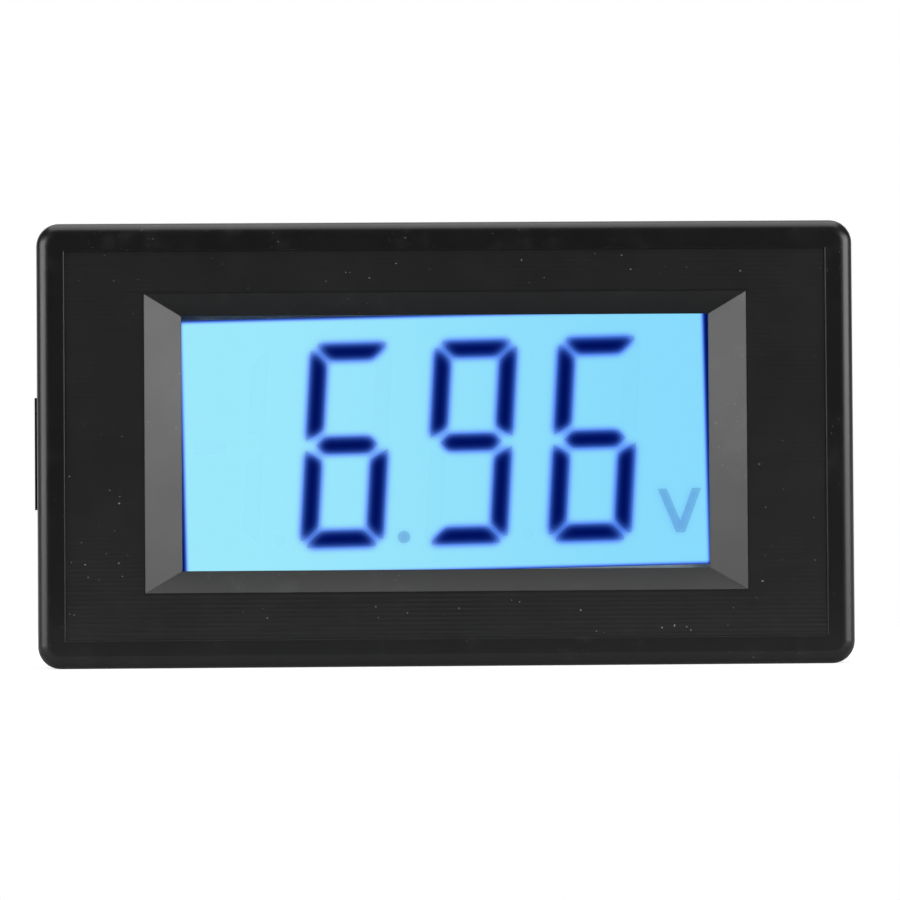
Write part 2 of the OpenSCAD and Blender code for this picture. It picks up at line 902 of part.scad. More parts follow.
module electrolytic_capacitors() {
  can_r = 3.15;
  can_h = 9;
  neck_y = 1.4;
  neck_r = 0.25;
  score_l = 4.4;
  score_w = 0.3;
  color([0.12, 0.14, 0.3])
    for (at = can_at)
      on_board(at)
        difference() {
          rod_y(can_r, 0, can_h);
          rotate_about_y()
            translate([can_r, neck_y])
              circle(neck_r);
          for (turn = [0, 90])
            rotate([0, turn, 0])
              span_box([-score_l / 2, score_l / 2], [can_h - score_w / 2, can_h + slack],
                       [-score_w / 2, score_w / 2]);
        }
}

// Turns a section, drawn outwards along X and up along Y, about the Y axis
module rotate_about_y() {
  rotate([-90, 0, 0])
    rotate_extrude()
      children();
}

module film_capacitors() {
  body_w = 7.2;
  body_h = 6.5;
  body_t = 2.6;
  lift = 0.3;
  leg_x = 2.54;
  leg_r = 0.3;
  color([0.72, 0.28, 0.12])
    for (i = [0:2])
      on_board([film_at[0], film_at[1] - i * film_pitch]) {
        span_box([-body_w / 2, body_w / 2], [lift, lift + body_h], [-body_t / 2, body_t / 2]);
        for (x = [-leg_x, leg_x])
          translate([x, 0, 0])
            rod_y(leg_r, 0, 2 * lift);
      }
}

// An axial part: a round body with a lead that bends down to the board at each end
module axial_part(body_r, body_l, lift) {
  lead_r = 0.3;
  lead_l = 1.6;
  span = body_l / 2 + lead_l;
  translate([-body_l / 2, lift, 0])
    rotate([0, 90, 0])
      cylinder(r = body_r, h = body_l);
  translate([-span, lift, 0])
    rotate([0, 90, 0])
      cylinder(r = lead_r, h = 2 * span);
  for (x = [-span, span])
    translate([x, 0, 0])
      rod_y(lead_r, 0, lift + lead_r);
}

module resistors() {
  body_r = 1.15;
  body_l = 6.3;
  lift = 1.4;
  color([0.35, 0.6, 0.7])
    for (i = [0:4])
      on_board([resistor_at[0], resistor_at[1] - i * resistor_pitch])
        axial_part(body_r, body_l, lift);
}

module protection_diode() {
  body_r = 1.35;
  body_l = 5.2;
  lift = 1.6;
  color([0.1, 0.1, 0.1])
    on_board(diode_at)
      axial_part(body_r, body_l, lift);
}

// ---------------------------------------------------------------- calibration

module trimmer_body() {
  color("royalblue")
    on_board(trimmer_at)
      difference() {
        span_box([-trimmer_w / 2, trimmer_w / 2], [0, trimmer_h], [-trimmer_w / 2, trimmer_w / 2]);
        rod_y(rotor_r + rotor_play, trimmer_h - rotor_t, trimmer_h + slack);
        rod_y(rotor_pin_r + rotor_play, trimmer_h - rotor_t - rotor_pin_l - 0.1, trimmer_h);
      }
}

module trimmer_rotor() {
  slot_w = 0.7;
  slot_end = 0.4;
  seat = trimmer_h - rotor_t + 0.02;
  color("gold")
    on_board(trimmer_at)
      difference() {
        union() {
          rod_y(rotor_r, seat, seat + rotor_t);
          rod_y(rotor_pin_r, seat - rotor_pin_l, seat + slack);
        }
        span_box([slot_end - rotor_r, rotor_r - slot_end], [seat + rotor_t - slot_w, seat + rotor_t + slack],
                 [-slot_w / 2, slot_w / 2]);
      }
}

// ------------------------------------------------------------------ terminals

function way_x(i) = (i - (ways - 1) / 2) * terminal_pitch;

// The hollow of one way: screw well, screw hole, cage chamber, wire entry and contact slot
module way_cut() {
  entry_w = cage_w - 2 * cage_side_t;
  translate([0, 0, screw_z]) {
    rod_y(screw_head_r + 0.2, seat_y, block_top_y + slack);
    rod_y(screw_r + 0.15, chamber_top_y - slack, block_top_y);
  }
  span_box([-way_w / 2, way_w / 2], [chamber_y, chamber_top_y],
           [chamber_z0, strap_z + strap_t + tongue_play]);
  span_box([-entry_w / 2, entry_w / 2], [cage_y + cage_base_t - 0.1, tongue_top_y - tongue_t],
           [block_wire_z - slack, chamber_z0 + slack]);
  span_box([-tongue_w / 2 - tongue_play, tongue_w / 2 + tongue_play], [parts_y - slack, chamber_y + slack],
           [strap_z - tongue_play, strap_z + strap_t + tongue_play]);
}

module terminal_block() {
  edge_cut = 1.2;
  color([0.1, 0.35, 0.2])
    difference() {
      span_box([-block_w / 2, block_w / 2], [parts_y, block_top_y], [block_wire_z, block_wire_z + block_d]);
      for (i = [0:ways - 1])
        translate([way_x(i), 0, 0])
          way_cut();
      translate([0, block_top_y, block_wire_z])
        rotate([45, 0, 0])
          cube([2 * block_w, edge_cut, edge_cut], center = true);
    }
}

// Fixed contacts: a tongue through each cage, a strap down to the board and a solder pin
module terminal_contacts() {
  pin_w = 0.8;
  color(solder_tin)
    for (i = [0:ways - 1])
      translate([way_x(i), 0, 0]) {
        span_box([-tongue_w / 2, tongue_w / 2], [tongue_top_y - tongue_t, tongue_top_y],
                 [cage_z0, strap_z + strap_t]);
        span_box([-tongue_w / 2, tongue_w / 2], [parts_y, tongue_top_y], [strap_z, strap_z + strap_t]);
        span_box([-pin_w / 2, pin_w / 2], [board_y + pin_trim, parts_y + slack],
                 [strap_z, strap_z + strap_t]);
      }
}

// The cage that rises on its screw and presses the wire against the tongue
module clamp_cage(i) {
  color([0.8, 0.7, 0.4])
    translate([way_x(i - 1), 0, 0])
      difference() {
        span_box([-cage_w / 2, cage_w / 2], [cage_y, cage_top_y], [cage_z0, cage_z0 + cage_d]);
        span_box([cage_side_t - cage_w / 2, cage_w / 2 - cage_side_t],
                 [cage_y + cage_base_t, cage_top_y - cage_cap_t],
                 [cage_z0 - slack, cage_z0 + cage_d + slack]);
        translate([0, 0, screw_z])
          rod_y(screw_r + screw_play, cage_top_y - cage_cap_t - slack, cage_top_y + slack);
      }
}

module terminal_screw(i) {
  head_t = 1.5;
  slot_d = 0.8;
  head_y = seat_y + screw_play;
  color(solder_tin)
    translate([way_x(i - 1), 0, screw_z])
      difference() {
        union() {
          rod_y(screw_head_r, head_y, head_y + head_t);
          rod_y(screw_r, tongue_top_y + screw_play, head_y + slack);
        }
        span_box([-screw_head_r - slack, screw_head_r + slack],
                 [head_y + head_t - slot_d, head_y + head_t + slack],
                 [-screw_recess_w / 2, screw_recess_w / 2]);
      }
}

front_housing();
rear_cover();
panel_clip_left();
panel_clip_right();
lcd_front_polarizer();
lcd_front_glass();
lcd_cell_seal();
lcd_rear_glass();
lcd_rear_polarizer();
segments_on();
segments_dim();
segments_off();
light_diffuser();
light_guide();
light_reflector();
backlight_leds();
display_carrier();
contact_strips();
main_board();
board_screws();
converter_chip();
converter_leads();
voltage_regulator();
electrolytic_capacitors();
film_capacitors();
resistors();
protection_diode();
trimmer_body();
trimmer_rotor();
terminal_block();
terminal_contacts();
for (i = TERMINALS) {
  clamp_cage(i);
  terminal_screw(i);
}
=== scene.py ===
"""Digital panel meter: its finishes, the ribs and dust of its front frame, its lit film and the studio.

Everything is in metres in the part's own frame: X to the right, Y away from the viewer, Z up.
"""

import json
import math

import bpy
import numpy as np
from mathutils import Matrix, Vector


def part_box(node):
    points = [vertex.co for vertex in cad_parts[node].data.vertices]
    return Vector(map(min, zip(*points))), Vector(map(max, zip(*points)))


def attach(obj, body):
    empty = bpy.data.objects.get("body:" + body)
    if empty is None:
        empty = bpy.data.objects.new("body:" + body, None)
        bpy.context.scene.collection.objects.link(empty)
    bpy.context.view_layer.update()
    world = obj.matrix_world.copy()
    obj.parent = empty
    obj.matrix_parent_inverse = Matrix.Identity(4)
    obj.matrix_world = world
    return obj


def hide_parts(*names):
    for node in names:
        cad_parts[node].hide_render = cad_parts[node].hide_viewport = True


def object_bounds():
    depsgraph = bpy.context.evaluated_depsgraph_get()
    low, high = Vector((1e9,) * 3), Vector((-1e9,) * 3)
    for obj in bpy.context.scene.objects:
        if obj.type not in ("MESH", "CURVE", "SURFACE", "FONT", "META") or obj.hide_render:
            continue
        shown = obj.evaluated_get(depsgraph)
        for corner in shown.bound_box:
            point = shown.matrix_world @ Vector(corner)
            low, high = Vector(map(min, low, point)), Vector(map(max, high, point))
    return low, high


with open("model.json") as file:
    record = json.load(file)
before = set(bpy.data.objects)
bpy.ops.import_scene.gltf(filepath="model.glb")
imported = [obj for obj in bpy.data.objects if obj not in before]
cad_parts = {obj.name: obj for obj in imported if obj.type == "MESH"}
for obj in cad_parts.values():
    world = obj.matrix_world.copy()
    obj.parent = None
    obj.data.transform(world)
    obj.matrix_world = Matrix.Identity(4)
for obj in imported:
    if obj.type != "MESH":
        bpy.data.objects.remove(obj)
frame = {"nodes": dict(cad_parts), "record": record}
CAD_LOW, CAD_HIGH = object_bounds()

bl_info = {
    "name": "Digital panel meter",
    "version": (1, 0, 0),
    "blender": (4, 5, 0),
    "location": "3D View > Sidebar > Meter",
    "description": "Dresses a snap-in panel voltmeter and sets up a plain studio for it",
    "category": "Object",
}

MM = 0.001


def tone(red, green, blue):
    """A screen colour, 0 to 255, as linear light: ((c + 0.055) / 1.055) ^ 2.4, and c / 12.92 below 0.04."""
    shares = (channel / 255 for channel in (red, green, blue))
    return tuple(c / 12.92 if c <= 0.04045 else ((c + 0.055) / 1.055) ** 2.4 for c in shares)


# ------------------------------------------------------------------------------------ shader maths


class Value:
    """A number that varies over a surface. It wraps a socket, so arithmetic on it adds Math nodes."""

    def __init__(self, shader, socket):
        self.shader = shader
        self.socket = socket

    def math(self, operation, *others):
        """A Math node on this value and the others."""
        return self.shader.node("ShaderNodeMath", {"operation": operation}, (self, *others))

    def reflected(self, operation, other):
        """A Math node with this value second, for number + value and the like."""
        return self.shader.node("ShaderNodeMath", {"operation": operation}, (other, self))

    def __add__(self, other):
        return self.math("ADD", other)

    def __sub__(self, other):
        return self.math("SUBTRACT", other)

    def __mul__(self, other):
        return self.math("MULTIPLY", other)

    def __truediv__(self, other):
        return self.math("DIVIDE", other)

    def __pow__(self, other):
        return self.math("POWER", other)

    def __radd__(self, other):
        return self.reflected("ADD", other)

    def __rsub__(self, other):
        return self.reflected("SUBTRACT", other)

    def __rmul__(self, other):
        return self.reflected("MULTIPLY", other)

    def between(self, low, high):
        """0 below low, 1 above high and a smooth rise between them; high below low turns it round."""
        if high < low:
            return 1 - self.between(high, low)
        inputs = {0: self, 1: low, 2: high, 3: 0.0, 4: 1.0}
        return self.shader.node("ShaderNodeMapRange", {"interpolation_type": "SMOOTHSTEP"}, inputs)


class Shader:
    """A node tree, with one way to add a node to it."""

    def __init__(self, tree):
        self.tree = tree

    def node(self, kind, settings=None, inputs=(), output=0):
        """Adds a node: first its settings, then its sockets' values or links, by place or by name."""
        made = self.tree.nodes.new(kind)
        for name, setting in (settings or {}).items():
            if name == "stops":
                self.set_stops(made.color_ramp, setting)
            else:
                setattr(made, name, setting)
        pairs = inputs.items() if isinstance(inputs, dict) else enumerate(inputs)
        for key, given in pairs:
            self.feed(made.inputs[key], given)
        return Value(self, made.outputs[output])

    def feed(self, socket, given):
        """Links a Value to a socket, or sets a plain number or colour on it."""
        if isinstance(given, Value):
            self.tree.links.new(given.socket, socket)
        elif hasattr(socket.default_value, "__len__") and len(socket.default_value) == 4:
            socket.default_value = (*given[:3], 1.0)
        else:
            socket.default_value = given

    @staticmethod
    def set_stops(ramp, stops):
        """Gives a colour ramp its stops, as (place, colour) pairs in rising order."""
        while len(ramp.elements) < len(stops):
            ramp.elements.new(1.0)
        for element, (place, colour) in zip(ramp.elements, stops):
            element.position = place
            element.color = (*colour, 1.0)

    def mix(self, share, first, second, blend="MIX"):
        """Colour between first, where share is 0, and second, where share is 1."""
        settings = {"data_type": "RGBA", "blend_type": blend}
        return self.node("ShaderNodeMix", settings, {0: share, 6: first, 7: second}, output=2)

    def noise(self, size, detail=2.0, stretch=(1, 1, 1)):
        """Soft noise, 0 to 1, whose grains measure about size in metres, drawn out along each axis."""
        scale = tuple(1 / length for length in stretch)
        place = self.node("ShaderNodeTexCoord", output="Object")
        place = self.node("ShaderNodeMapping", {}, {"Vector": place, "Scale": scale})
        inputs = {"Vector": place, "Scale": 1 / size, "Detail": detail}
        return self.node("ShaderNodeTexNoise", {}, inputs)

    def slant(self):
        """0 where the surface is seen square on, and 1 where it is seen edge on."""
        return self.node("ShaderNodeLayerWeight", {}, {"Blend": 0.5}, output="Facing")

    def axes(self):
        """The surface point's X, Y and Z in the part's own frame, in metres."""
        place = self.node("ShaderNodeTexCoord", output="Object")
        return [self.node("ShaderNodeSeparateXYZ", {}, (place,), output=i) for i in range(3)]


class Finish(Shader):
    """A material for one kind of surface, built round its Principled shader."""

    def __init__(self, name, colour, roughness, **fixed):
        self.material = bpy.data.materials.new(name)
        self.material.use_nodes = True
        super().__init__(self.material.node_tree)
        self.surface = self.tree.nodes["Principled BSDF"]
        self.set("Base Color", colour)
        self.set("Roughness", roughness)
        for socket, value in fixed.items():
            self.set(socket.replace("_", " "), value)

    def set(self, socket, value):
        """Links or sets one socket of the Principled shader."""
        self.feed(self.surface.inputs[socket], value)

    def mottle(self, colour, size, depth):
        """Colour that drifts by depth, up and down, in patches of the given size."""
        patch = self.noise(size, 3.0)
        dark = tuple(c * (1 - depth) for c in colour)
        pale = tuple(min(1, c * (1 + depth)) for c in colour)
        return self.mix(patch.between(0.3, 0.7), dark, pale)

    def relief(self, height, depth, edge_radius=0.0):
        """Bumps of the given depth, over edges that catch the light as if rounded to edge_radius."""
        inputs = {"Height": height, "Distance": depth, "Strength": 1.0}
        if edge_radius:
            inputs["Normal"] = self.node("ShaderNodeBevel", {"samples": 6}, {"Radius": edge_radius})
        self.set("Normal", self.node("ShaderNodeBump", {}, inputs))


# ---------------------------------------------------------------------------------------- finishes


def moulded_plastic(name, colour, roughness, grain=0.12 * MM, depth=0.004 * MM, edge=0.12 * MM, worn=False):
    """Injection-moulded plastic: faint drift of colour and polish, a fine grain and soft edges."""
    finish = Finish(name, colour, roughness, Specular_IOR_Level=0.5)
    polish = finish.noise(6 * MM, 3.0)
    mottled = finish.mottle(colour, 2.5 * MM, 0.12)
    finish.set("Base Color", scuffed(finish, mottled) if worn else mottled)
    finish.set("Roughness", roughness - 0.05 + 0.1 * polish)
    finish.relief(finish.noise(grain), depth, edge)
    return finish


def scuffed(finish, colour):
    """A moulding's colour with pale nicks and rubbed spots, which crowd in some patches."""
    patch = finish.noise(9 * MM).between(0.46, 0.62)
    nick = finish.noise(0.3 * MM, 3.0).between(0.7, 0.76) * patch
    rubbed = finish.noise(2.2 * MM, 4.0).between(0.5, 0.7) * patch
    return finish.mix(0.015 * rubbed + 0.35 * nick, colour, tone(190, 190, 188))


def sheet_metal(name, colour, roughness, along=(1, 1, 12)):
    """Plated or rolled metal: drawn-out polishing lines and a slight drift of brightness."""
    finish = Finish(name, colour, roughness, Metallic=1.0)
    lines = finish.noise(0.06 * MM, stretch=along)
    finish.set("Base Color", finish.mottle(colour, 1.2 * MM, 0.1))
    finish.set("Roughness", roughness - 0.06 + 0.14 * lines)
    finish.relief(lines, 0.003 * MM, 0.08 * MM)
    return finish


def clear_sheet(name, colour, roughness):
    """A clear sheet: it shows more of its own gloss where it is seen at a slant."""
    finish = Finish(name, colour, roughness, IOR=1.5)
    slant = finish.slant()
    haze = finish.noise(1.5 * MM)
    finish.set("Alpha", (slant * slant * 0.5 + 0.008 * haze - 0.004).math("MAXIMUM", 0.0))
    finish.set("Roughness", roughness - 0.03 + 0.06 * haze)
    return finish


def dress(slot, finish):
    """Gives a finish to every CAD node that takes the named material slot."""
    for part in frame["record"]["subparts"]:
        if part["material_slot"] == slot:
            mesh = frame["nodes"][part["node"]].data
            mesh.materials.clear()
            mesh.materials.append(finish.material)


# ------------------------------------------------------------------------------------------ meshes


def node_points(node):
    """Every vertex of a CAD node, as rows of X, Y and Z in metres."""
    mesh = frame["nodes"][node].data
    points = np.empty(len(mesh.vertices) * 3, np.float32)
    mesh.vertices.foreach_get("co", points)
    return points.reshape(-1, 3).astype(float)


def closed_sheet(across, up, front, back, keep):
    """Vertices and quads of a thin closed sheet, and which points of both its grids are used.

    The sheet is a grid of across by up. Its front face stands at depth front, one value for each grid
    point, and its back face at the one depth back. Cells where keep is false are left out, and a wall
    joins front to back wherever a kept cell has no kept neighbour.
    """
    rows, columns = len(up), len(across)
    x, z = np.meshgrid(across, up)
    grid = np.stack([x, front, z], -1).reshape(-1, 3)
    rear = np.stack([x, np.full_like(x, back), z], -1).reshape(-1, 3)
    near = np.arange(rows * columns).reshape(rows, columns)
    far = near + rows * columns
    a, b, c, d = near[:-1, :-1], near[:-1, 1:], near[1:, 1:], near[1:, :-1]
    e, f, g, h = far[:-1, :-1], far[:-1, 1:], far[1:, 1:], far[1:, :-1]
    rim = np.pad(keep, 1)
    left, right = keep & ~rim[1:-1, :-2], keep & ~rim[1:-1, 2:]
    low, high = keep & ~rim[:-2, 1:-1], keep & ~rim[2:, 1:-1]
    sides = [
        (keep, (a, b, c, d)),
        (keep, (h, g, f, e)),
        (left, (a, d, h, e)),
        (right, (b, f, g, c)),
        (low, (a, e, f, b)),
        (high, (d, c, g, h)),
    ]
    faces = np.concatenate([np.stack([corner[mask] for corner in quad], -1) for mask, quad in sides])
    used, faces = np.unique(faces, return_inverse=True)
    return np.concatenate([grid, rear])[used], faces.reshape(-1, 4), used


def add_piece(name, points, faces, body, finish):
    """Makes a mesh piece from numpy vertices and quads, in its finish, and lets it ride on a body."""
    mesh = bpy.data.meshes.new(name)
    mesh.vertices.add(len(points))
    mesh.vertices.foreach_set("co", points.astype(np.float32).ravel())
    mesh.loops.add(faces.size)
    mesh.loops.foreach_set("vertex_index", faces.astype(np.int32).ravel())
    mesh.polygons.add(len(faces))
    mesh.polygons.foreach_set("loop_start", np.arange(0, faces.size, 4, dtype=np.int32))
    mesh.update(calc_edges=True)
    mesh.validate()
    mesh.set_sharp_from_angle(angle=math.radians(35))
    piece = bpy.data.objects.new(name, mesh)
    bpy.context.scene.collection.objects.link(piece)
    mesh.materials.append(finish.material)
    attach(piece, body)
    return piece


# ---------------------------------------------------------------------------------------- settings


class MeterFinish(bpy.types.PropertyGroup):
    """Colours and gloss of the case and the display."""

    case_colour: bpy.props.FloatVectorProperty(
        name="Case", description="Colour of the moulded case", subtype="COLOR", size=3,
        min=0, max=1, default=tone(17, 17, 18),
    )
    field_colour: bpy.props.FloatVectorProperty(
        name="Field", description="Colour of the ribbed field", subtype="COLOR", size=3,
        min=0, max=1, default=tone(22, 22, 23),
    )
    faint_share: bpy.props.FloatProperty(
        name="Faint share", description="How dark a half-driven segment is, as a share of a driven one",
        min=0, max=1, default=0.13,
    )
    case_roughness: bpy.props.FloatProperty(
        name="Case roughness", description="0 is a mirror and 1 is chalk", subtype="FACTOR",
        min=0, max=1, default=0.31,
    )
    light_left: bpy.props.FloatVectorProperty(
        name="Light, lamp side", description="Colour of the lit film beside the lamps", subtype="COLOR",
        size=3, min=0, max=1, default=tone(157, 233, 252),
    )
    light_right: bpy.props.FloatVectorProperty(
        name="Light, far side", description="Colour of the lit film at its far end", subtype="COLOR",
        size=3, min=0, max=1, default=tone(136, 219, 252),
    )
    ink: bpy.props.FloatVectorProperty(
        name="Segments", description="Colour of a driven segment", subtype="COLOR", size=3,
        min=0, max=1, default=tone(0, 17, 94),
    )


class MeterSizes(bpy.types.PropertyGroup):
    """Sizes of the surface detail."""

    rib_pitch: bpy.props.FloatProperty(
        name="Rib pitch", description="Distance from one rib of the field to the next", unit="LENGTH",
        min=0.2 * MM, max=1 * MM, default=0.44 * MM,
    )
    rib_height: bpy.props.FloatProperty(
        name="Rib height", description="Height of the ribs over their grooves", unit="LENGTH",
        min=0.005 * MM, max=0.08 * MM, default=0.03 * MM,
    )
    field_inset: bpy.props.FloatProperty(
        name="Field inset", description="How far the ribs stop short of the rim and the window",
        unit="LENGTH", min=0, max=0.6 * MM, default=0.12 * MM,
    )
    specks: bpy.props.IntProperty(
        name="Specks", description="Number of specks of dust on the field", min=0, max=400, default=80,
    )
    shadow_blur: bpy.props.FloatProperty(
        name="Shadow blur", description="How far the segments' shadows spread on the lit film",
        unit="LENGTH", min=0.1 * MM, max=1 * MM, default=0.4 * MM,
    )
    shadow_waist: bpy.props.FloatProperty(
        name="Shadow waist", description="How much narrower than its segment a shadow is; 1 is no narrower",
        min=1, max=3, default=1.3,
    )
    film_grid: bpy.props.FloatProperty(
        name="Film grid", description="Spacing of the lit film's grid", unit="LENGTH",
        min=0.12 * MM, max=1 * MM, default=0.15 * MM,
    )


class MeterStudio(bpy.types.PropertyGroup):
    """The plain studio."""

    side_light: bpy.props.FloatProperty(
        name="Side lights", description="Brightness of the panels left and right", min=0, max=10,
        default=5.6,
    )
    side_angle: bpy.props.FloatProperty(
        name="Side angle", description="From straight ahead of the part to the middle of a side panel",
        subtype="ANGLE", min=0, max=math.radians(90), default=math.radians(60),
    )
    top_light: bpy.props.FloatProperty(
        name="Top light", description="Brightness of the panel above", min=0, max=10, default=2.2,
    )
    fill: bpy.props.FloatProperty(
        name="Fill", description="Brightness of the room as it falls on the part", min=0, max=1,
        default=0.2,
    )
    front: bpy.props.FloatProperty(
        name="Front", description="Brightness of the room that gloss on the front shows", min=0, max=1,
        default=0.05,
    )
    distance: bpy.props.FloatProperty(
        name="Camera distance", description="From the camera to the front frame", unit="LENGTH",
        min=0.2, max=2, default=0.4,
    )
    view_width: bpy.props.FloatProperty(
        name="Width of view", description="How much the camera takes in at the front frame", unit="LENGTH",
        min=50 * MM, max=500 * MM, default=86.8 * MM,
    )
    roll: bpy.props.FloatProperty(
        name="Roll", description="Turn of the picture about the line of sight", subtype="ANGLE",
        min=math.radians(-10), max=math.radians(10), default=math.radians(-0.4),
    )


# -------------------------------------------------------------------------------------------- case


class METER_OT_case(bpy.types.Operator):
    """Finishes the front housing, the rear cover and the side clips"""

    bl_idname = "meter.case"
    bl_label = "Case"

    def execute(self, context):
        looks = context.scene.meter_finish
        colour, roughness = tuple(looks.case_colour), looks.case_roughness
        dress("case_black", moulded_plastic("case_black", colour, roughness, worn=True))
        dress("cover_black", moulded_plastic("cover_black", colour, roughness + 0.1, depth=0.01 * MM))
        dress("clip_black", moulded_plastic("clip_black", colour, roughness - 0.05))
        return {"FINISHED"}


STEPS_PER_RIB = 8  # rows of the field's grid across each rib


def field_outline():
    """The depth of the field behind the rim, and the low and high corners of its outer and inner edges."""
    past_corner = 2.3 * MM
    least_depth, most_depth = 0.05 * MM, 0.6 * MM
    flat = 0.01 * MM
    low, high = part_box("front_housing")
    points = node_points("front_housing")
    aside, above, depth = np.abs(points[:, 0]), np.abs(points[:, 2]), points[:, 1] - low.y
    inside = (aside < high.x - past_corner) & (above < high.z - past_corner)
    level = points[inside & (depth > least_depth) & (depth < most_depth)]
    plane = level[:, 1].min()
    edge = level[np.abs(level[:, 1] - plane) < flat][:, [0, 2]]
    hole = edge[np.abs(edge[:, 0]) < np.abs(edge[:, 0]).max() - 1 * MM]
    return plane, (edge.min(0), edge.max(0)), (hole.min(0), hole.max(0))


class METER_OT_field(bpy.types.Operator):
    """Adds the fine ribs of the front frame's sunk field"""

    bl_idname = "meter.field"
    bl_label = "Ribbed field"

    def execute(self, context):
        sizes = context.scene.meter_sizes
        looks = context.scene.meter_finish
        plane, (low, high), hole = field_outline()
        low, high = low + sizes.field_inset, high - sizes.field_inset
        hole_low, hole_high = hole[0] - sizes.field_inset, hole[1] + sizes.field_inset
        across = np.arange(low[0], high[0], 0.5 * MM)
        up = np.arange(low[1], high[1], sizes.rib_pitch / STEPS_PER_RIB)
        across = np.unique(np.append(across, [hole_low[0], hole_high[0], high[0]]))
        up = np.unique(np.append(up, [hole_low[1], hole_high[1], high[1]]))
        x, z = np.meshgrid(across, up)
        front = plane - 0.006 * MM - sizes.rib_height * rib_relief(x, z, sizes.rib_pitch)
        middle_x = (across[:-1] + across[1:]) / 2
        middle_z = (up[:-1] + up[1:]) / 2
        open_x = (middle_x > hole_low[0]) & (middle_x < hole_high[0])
        open_z = (middle_z > hole_low[1]) & (middle_z < hole_high[1])
        keep = ~(open_z[:, None] & open_x[None, :])
        points, faces, _ = closed_sheet(across, up, front, plane + 0.02 * MM, keep)
        colour, roughness = tuple(looks.field_colour), looks.case_roughness + 0.1
        grain = {"grain": 0.25 * MM, "depth": 0.008 * MM, "edge": 0}
        finish = moulded_plastic("field_black", colour, roughness, **grain)
        add_piece("ribbed_field", points, faces, "case", finish)
        return {"FINISHED"}


def rib_relief(x, z, pitch):
    """Height of the ribs, 0 to 1: a cosine across them, times a drift that breaks them into dashes.

    The drift adds slow waves along and across the ribs to a wave of each rib's own, whose size and place
    come from the sine of the rib's number. The waves' numbers are radians to the metre.
    """
    rib = 0.5 + 0.5 * np.cos(2 * np.pi * z / pitch)
    number = np.round(z / pitch)
    own = np.sin(number * 12.9898) * np.sin(x * 420 + number * 4.1)
    wave = np.sin(190 * x + 310 * z) * np.cos(420 * z - 130 * x)
    return rib * np.clip(0.45 + 0.3 * wave + 0.35 * own, 0.05, 1)


def scattered_specks(count, outer, hole, plane):
    """Vertices and quads of small flat specks that lie about the field, clear of the window.

    Each is a six-sided mound: a ring (r cos t, r sin t) at its foot and one of 0.6 r at its top, drawn out
    along one axis and turned by amounts that a seeded generator gives.
    """
    dice = np.random.default_rng(5)
    spots = outer[0] + (outer[1] - outer[0]) * dice.random((count * 4, 2))
    clear = ((spots < hole[0]) | (spots > hole[1])).any(1)
    spots = spots[clear][:count]
    count = len(spots)
    corner = np.arange(6)
    ring = np.stack([np.cos(corner * np.pi / 3), np.sin(corner * np.pi / 3)], -1)
    mound = np.concatenate([ring, 0.6 * ring])
    radius = (0.03 + 0.06 * dice.random(count) ** 2)[:, None, None] * MM
    drawn = np.stack([1 + 1.6 * dice.random(count) ** 3, np.ones(count)], -1)[:, None, :]
    turn = np.pi * dice.random(count)
    rows = [np.stack([np.cos(turn), -np.sin(turn)], -1), np.stack([np.sin(turn), np.cos(turn)], -1)]
    flat = np.einsum("nij,nvj->nvi", np.stack(rows, -2), mound[None] * radius * drawn) + spots[:, None, :]
    foot, top = plane + 0.01 * MM, plane - 0.055 * MM
    depth = np.broadcast_to(np.repeat([foot, top], 6), flat.shape[:2])
    points = np.stack([flat[..., 0], depth, flat[..., 1]], -1).reshape(-1, 3)
    after = (corner + 1) % 6
    sides = np.stack([corner, after, after + 6, corner + 6], -1)
    caps = np.array([[6, 7, 8, 9], [6, 9, 10, 11], [3, 2, 1, 0], [5, 4, 3, 0]])
    faces = np.concatenate([sides, caps])
    return points, (faces[None] + 12 * np.arange(count)[:, None, None]).reshape(-1, 4)


class METER_OT_dust(bpy.types.Operator):
    """Lays a few pale specks of dust on the field"""

    bl_idname = "meter.dust"
    bl_label = "Dust"

    def execute(self, context):
        sizes = context.scene.meter_sizes
        plane, outer, hole = field_outline()
        clear = 0.4 * MM
        outer = outer[0] + clear, outer[1] - clear
        hole = hole[0] - clear, hole[1] + clear
        points, faces = scattered_specks(sizes.specks, outer, hole, plane)
        finish = moulded_plastic("dust_pale", tone(150, 150, 148), 0.8, depth=0.01 * MM, edge=0)
        add_piece("dust_specks", points, faces, "case", finish)
        return {"FINISHED"}


# ----------------------------------------------------------------------------------------- display


SHADE_STEPS = 3  # points of the shadow's grid for each one of the lit film's


def display_frame():
    """The lit area's centre, its turn about Y and its half sizes, from the light diffuser's corners."""
    points = node_points("light_diffuser")[:, [0, 2]]
    centre = (points.min(0) + points.max(0)) / 2
    corner = points[np.argmax(points @ [1, 1])] - centre
    other = points[np.argmax(points @ [1, -1])] - centre
    turn = math.atan2((corner + other)[1], (corner + other)[0])
    half = np.array([np.hypot(*(corner + other)) / 2, np.hypot(*(corner - other)) / 2])
    return centre, turn, half


def to_display(points, centre, turn):
    """Points of the part's X and Z turned into the display's own right and up."""
    c, s = math.cos(turn), math.sin(turn)
    return (points - centre) @ np.array([[c, -s], [s, c]])


def from_display(points, centre, turn):
    """Points in the display's right, depth and up turned back into the part's X, Y and Z."""
    c, s = math.cos(turn), math.sin(turn)
    flat = points[:, [0, 2]] @ np.array([[c, s], [-s, c]]) + centre
    return np.stack([flat[:, 0], points[:, 1], flat[:, 1]], -1)


